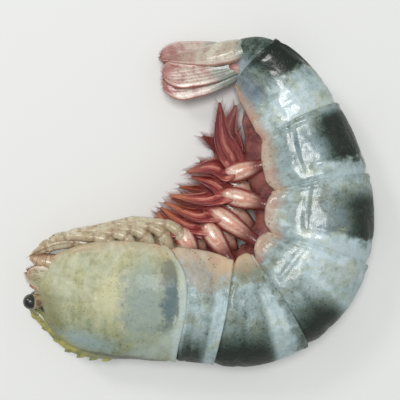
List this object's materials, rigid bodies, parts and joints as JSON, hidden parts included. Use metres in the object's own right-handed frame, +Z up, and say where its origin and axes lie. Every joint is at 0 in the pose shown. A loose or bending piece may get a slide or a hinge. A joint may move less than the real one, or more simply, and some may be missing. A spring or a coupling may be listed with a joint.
{
  "type": "raw tiger prawn",
  "caption": "Whole raw tiger prawn in its shell, head on, curled up and lying on its left side, with folded legs, swimming legs and a half-closed tail fan.",
  "frame": {"origin": "middle of the prawn's box, on the surface that it lies on", "axes": "+Z up, out of the right flank; +X from the head shell towards the middle of the curled back; +Y from the back of the head shell towards the tail fan"},
  "size_m": [0.0572, 0.0544, 0.0137],
  "materials": {
    "shell": "thin wet shell over pale flesh: grey-green with cream flanks, dark bands and pale segment edges",
    "swimming_legs": "wet coral-red blades on cream-peach oval stems",
    "tail_fan": "thin wet pink and cream blades with a redder rim",
    "eye": "glossy black bead"
  },
  "bodies": {
    "root": {"prawn": "shell"}
  },
  "joints": []
}
